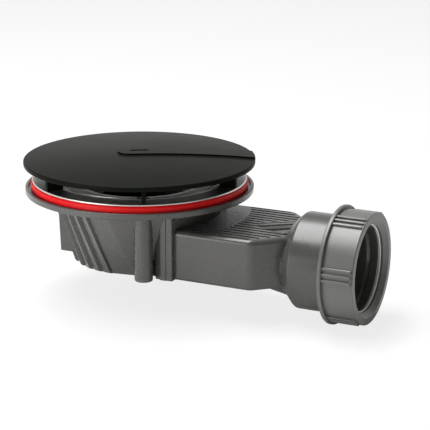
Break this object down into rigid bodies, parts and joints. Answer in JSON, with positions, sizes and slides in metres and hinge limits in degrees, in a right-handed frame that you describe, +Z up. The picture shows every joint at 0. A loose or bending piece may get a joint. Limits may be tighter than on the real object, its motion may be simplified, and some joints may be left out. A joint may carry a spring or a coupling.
{
  "type": "shower trap",
  "caption": "Shower tray trap: low domed black cover on legs, steel flange, red seal, tapered grey bowl, flat striped outlet duct and a side union nut for the waste pipe.",
  "frame": {"origin": "on the drain axis at the tray seat, the plane where the top of the red seal meets the tray", "axes": "+Z up out of the drain, +X towards the outlet, +Y across the duct"},
  "size_m": [0.181, 0.115, 0.0733],
  "materials": {
    "black_plastic": "satin",
    "polished_stainless": "polished",
    "screw_steel": "bright",
    "red_rubber": "smooth",
    "black_rubber": "smooth",
    "grey_rubber": "smooth",
    "white_plastic": "satin",
    "insert_plastic": "satin",
    "grey_plastic": "satin moulded",
    "nut_plastic": "satin moulded"
  },
  "bodies": {
    "trap": {"trap_body": "grey_plastic", "cover": "black_plastic", "tray_flange": "polished_stainless", "flange_screws": "screw_steel", "tray_seal": "red_rubber", "trap_insert": "insert_plastic", "insert_seal": "black_rubber", "outlet_seal": "grey_rubber"},
    "slip": {"slip_ring": "white_plastic"},
    "nut": {"outlet_nut": "nut_plastic"}
  },
  "joints": [
    {"name": "nut_travel", "type": "slide", "parent": "trap", "child": "slip", "axis": [1, 0, 0], "range_m": [0, 0.0081]},
    {"name": "nut_turn", "type": "hinge", "parent": "slip", "child": "nut", "pos_m": [0.115, 0, -0.0306], "axis": [1, 0, 0], "range_deg": [0, 720]}
  ],
  "couplings": [
    {"joint": "nut_travel", "follows": "nut_turn", "m_per_rad": 0.00063662}
  ]
}
